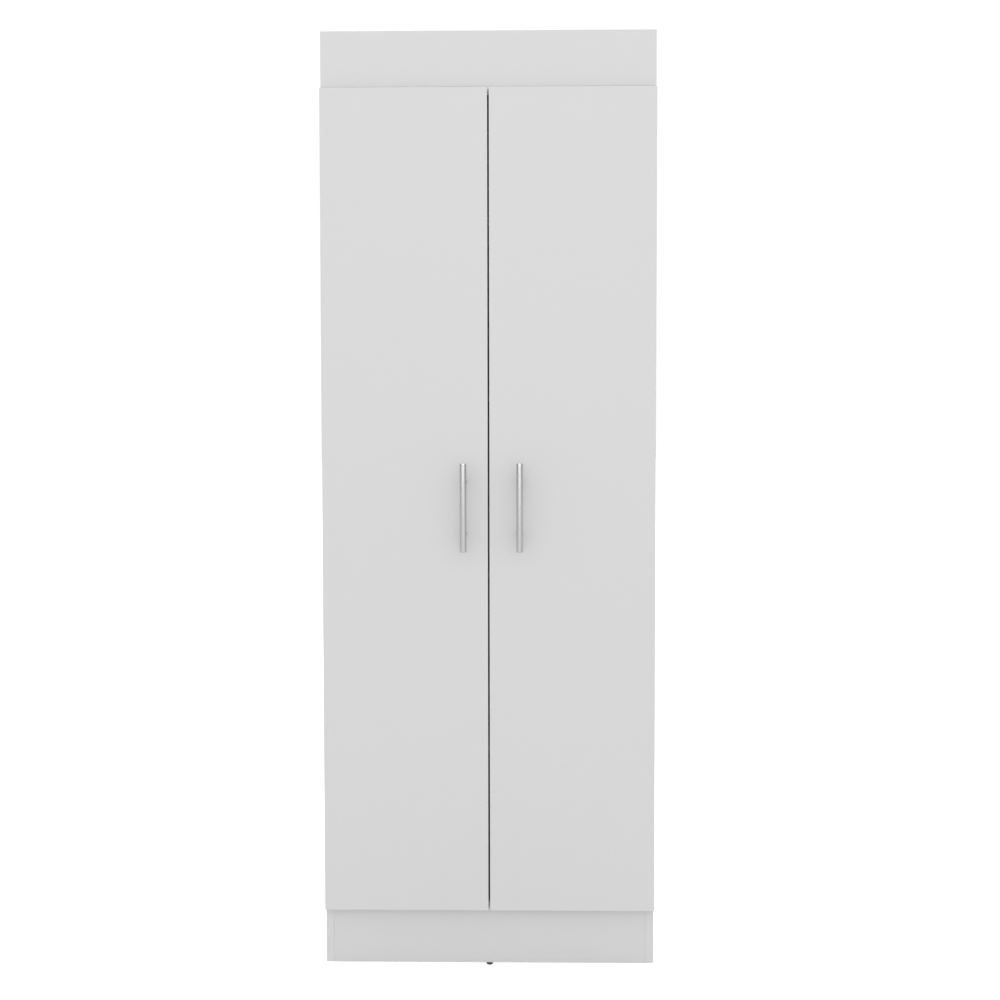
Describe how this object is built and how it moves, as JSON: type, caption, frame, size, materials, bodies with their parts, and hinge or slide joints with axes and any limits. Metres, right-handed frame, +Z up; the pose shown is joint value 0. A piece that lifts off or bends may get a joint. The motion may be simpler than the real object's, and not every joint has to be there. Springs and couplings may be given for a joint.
{
  "type": "pantry cabinet",
  "caption": "Tall narrow white pantry cabinet with a fascia board and plinth, full-height double doors on cup hinges, T-bar handles and shelves inside.",
  "frame": {"origin": "middle of the cabinet's bounding box at floor level", "axes": "+X to the right of someone facing the doors, +Y to the back, +Z up"},
  "size_m": [0.6, 0.432, 1.693],
  "materials": {
    "melamine_board": "satin white melamine-faced particleboard, edge-banded",
    "hardboard": "smooth white-lacquered face, brown back",
    "joiner_plastic": "matt white extrusion",
    "glide_plastic": "matt dark grey",
    "cam_zinc": "die-cast zinc",
    "zinc_steel": "bright zinc-plated",
    "beech": "plain fluted beech",
    "nickel_steel": "nickel-plated pressed steel",
    "handle_steel": "satin brushed",
    "zinc_screw": "bright zinc-plated",
    "bumper_rubber": "soft translucent"
  },
  "bodies": {
    "carcass": {"side_panel_left": "melamine_board", "side_panel_right": "melamine_board", "top_panel": "melamine_board", "bottom_panel": "melamine_board", "header_panel": "melamine_board", "plinth_front": "melamine_board", "plinth_rear": "melamine_board", "shelf_1": "melamine_board", "shelf_2": "melamine_board", "shelf_3": "melamine_board", "shelf_4": "melamine_board", "back_panel_lower": "hardboard", "back_panel_upper": "hardboard", "back_joiner": "joiner_plastic", "floor_glides": "glide_plastic", "cam_locks": "cam_zinc", "cam_bolts": "zinc_steel", "shelf_pins": "zinc_steel", "back_nails": "zinc_steel", "wall_bracket": "zinc_steel", "bracket_screws": "zinc_steel", "wood_dowels": "beech", "hinge_plates_left": "nickel_steel", "hinge_plates_right": "nickel_steel", "plate_screws": "nickel_steel", "arm_screws": "nickel_steel", "arm_pins": "nickel_steel", "hinge_arm_left_lower": "nickel_steel", "hinge_arm_left_middle": "nickel_steel", "hinge_arm_left_upper": "nickel_steel", "hinge_arm_right_lower": "nickel_steel", "hinge_arm_right_middle": "nickel_steel", "hinge_arm_right_upper": "nickel_steel"},
    "door_left_body": {"door_left": "melamine_board", "handle_bar_left": "handle_steel", "handle_posts_left": "handle_steel", "handle_screws_left": "zinc_screw", "hinge_cup_left_lower": "nickel_steel", "hinge_cup_left_middle": "nickel_steel", "hinge_cup_left_upper": "nickel_steel", "cup_screws_left": "nickel_steel", "cup_pins_left": "nickel_steel", "door_bumpers_left": "bumper_rubber"},
    "outer_links_left_body": {"outer_links_left": "nickel_steel"},
    "inner_links_left_body": {"inner_links_left": "nickel_steel"},
    "door_right_body": {"door_right": "melamine_board", "handle_bar_right": "handle_steel", "handle_posts_right": "handle_steel", "handle_screws_right": "zinc_screw", "hinge_cup_right_lower": "nickel_steel", "hinge_cup_right_middle": "nickel_steel", "hinge_cup_right_upper": "nickel_steel", "cup_screws_right": "nickel_steel", "cup_pins_right": "nickel_steel", "door_bumpers_right": "bumper_rubber"},
    "outer_links_right_body": {"outer_links_right": "nickel_steel"},
    "inner_links_right_body": {"inner_links_right": "nickel_steel"}
  },
  "joints": [
    {"name": "door_left_hinge", "type": "hinge", "parent": "carcass", "child": "door_left_body", "pos_m": [-0.29377, -0.17833, 0.849], "axis": [0, 0, -1], "range_deg": [0, 95]},
    {"name": "outer_links_left_hinge", "type": "hinge", "parent": "carcass", "child": "outer_links_left_body", "pos_m": [-0.2711, -0.17602, 0.849], "axis": [0, 0, 1], "range_deg": [0, 14.18]},
    {"name": "inner_links_left_hinge", "type": "hinge", "parent": "carcass", "child": "inner_links_left_body", "pos_m": [-0.2655, -0.17602, 0.849], "axis": [0, 0, 1], "range_deg": [0, 17.52]},
    {"name": "door_right_hinge", "type": "hinge", "parent": "carcass", "child": "door_right_body", "pos_m": [0.29377, -0.17833, 0.849], "axis": [0, 0, 1], "range_deg": [0, 95]},
    {"name": "outer_links_right_hinge", "type": "hinge", "parent": "carcass", "child": "outer_links_right_body", "pos_m": [0.2711, -0.17602, 0.849], "axis": [0, 0, -1], "range_deg": [0, 14.18]},
    {"name": "inner_links_right_hinge", "type": "hinge", "parent": "carcass", "child": "inner_links_right_body", "pos_m": [0.2655, -0.17602, 0.849], "axis": [0, 0, -1], "range_deg": [0, 17.52]}
  ],
  "couplings": [
    {"joint": "outer_links_left_hinge", "follows": "door_left_hinge", "ratio": 0.1487},
    {"joint": "inner_links_left_hinge", "follows": "door_left_hinge", "ratio": 0.1839},
    {"joint": "outer_links_right_hinge", "follows": "door_right_hinge", "ratio": 0.1487},
    {"joint": "inner_links_right_hinge", "follows": "door_right_hinge", "ratio": 0.1839}
  ]
}
